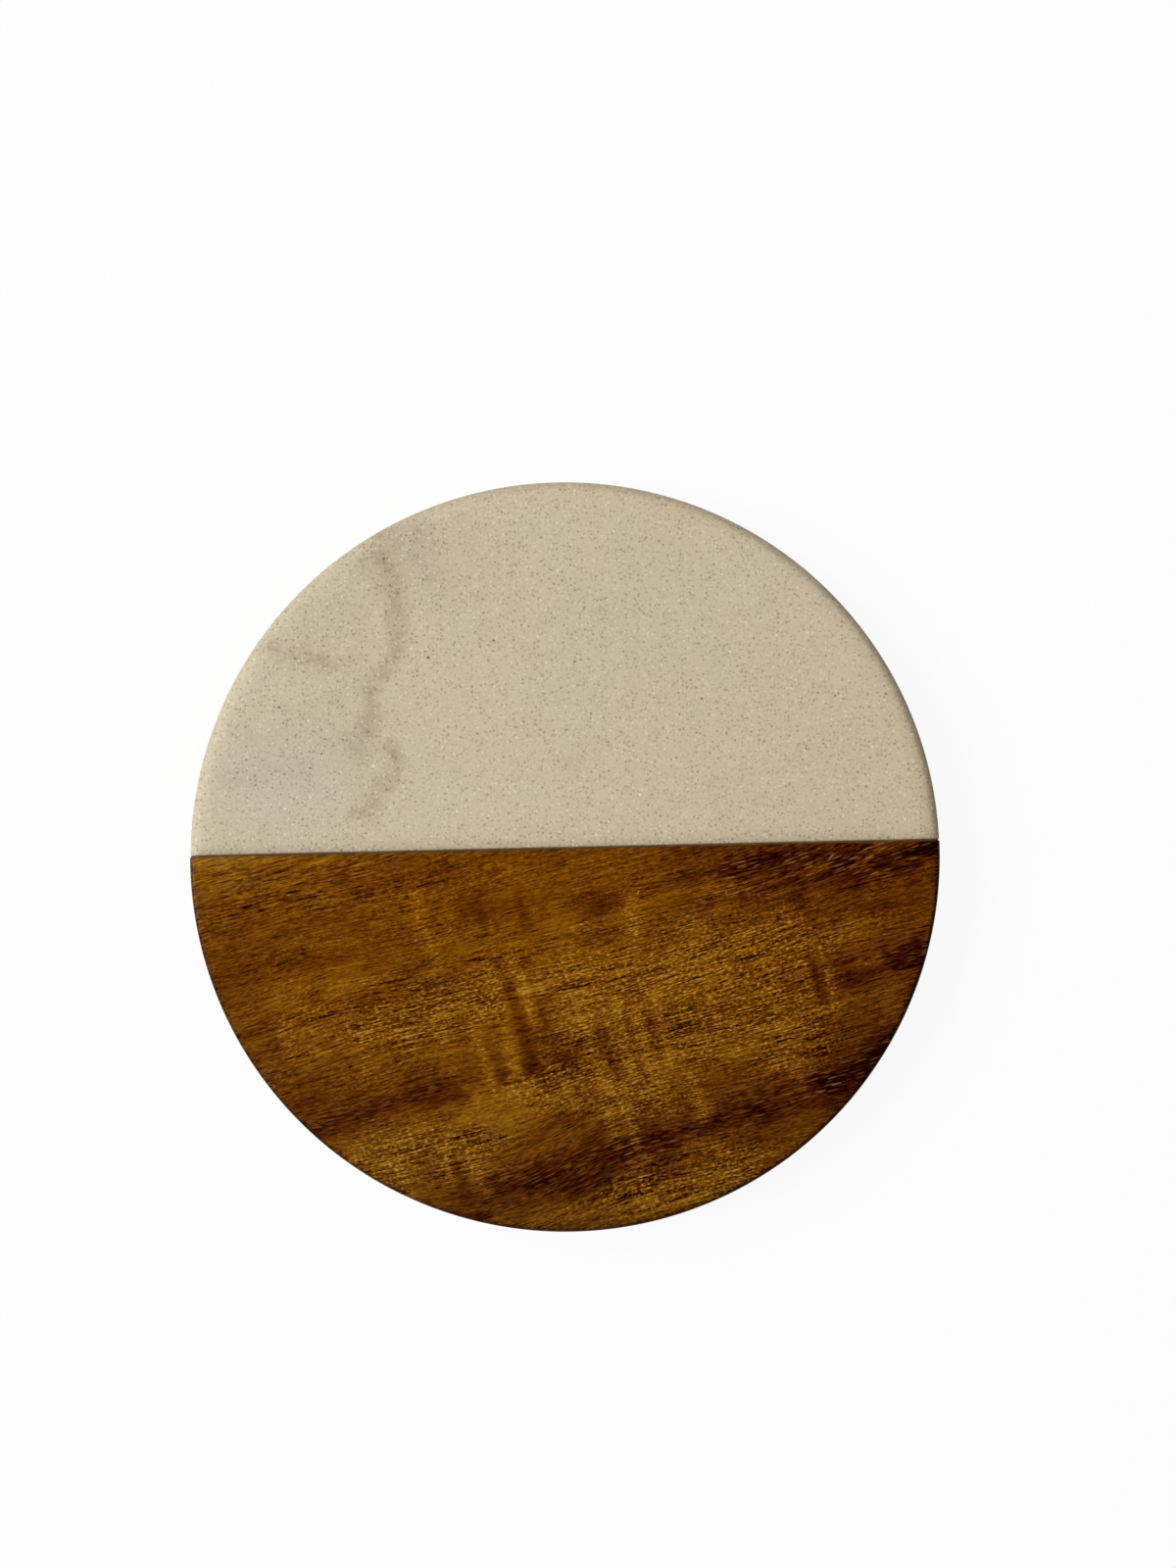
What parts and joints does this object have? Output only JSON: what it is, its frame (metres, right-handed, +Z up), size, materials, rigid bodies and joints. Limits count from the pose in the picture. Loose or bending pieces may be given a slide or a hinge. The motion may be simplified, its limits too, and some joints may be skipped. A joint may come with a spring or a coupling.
{
  "type": "drink coaster",
  "caption": "Round drink coaster, half speckled stone and half hardwood, joined edge to edge on hidden dowels, on small rubber feet.",
  "frame": {"origin": "middle of the disc, on the plane that the feet stand on", "axes": "+Z up, through the middle of the disc and out of its top face; X runs along the joint between the halves; the stone half is on the +Y side"},
  "size_m": [0.1016, 0.1016, 0.0113],
  "materials": {
    "stone": "honed fine-grained beige stone, speckled, with thin grey-brown veins",
    "hardwood": "sanded acacia with curly figure, oiled",
    "resin": "cured dark epoxy resin",
    "dowel_beech": "bare beech, pressed flutes",
    "foot_rubber": "moulded matte rubber",
    "adhesive": "acrylic adhesive film"
  },
  "bodies": {
    "root": {"stone_half": "stone", "wood_half": "hardwood", "glue_line": "resin", "dowel_left": "dowel_beech", "dowel_right": "dowel_beech", "foot_stone_left": "foot_rubber", "foot_stone_right": "foot_rubber", "foot_wood_left": "foot_rubber", "foot_wood_right": "foot_rubber", "tape_stone_left": "adhesive", "tape_stone_right": "adhesive", "tape_wood_left": "adhesive", "tape_wood_right": "adhesive"}
  },
  "joints": []
}
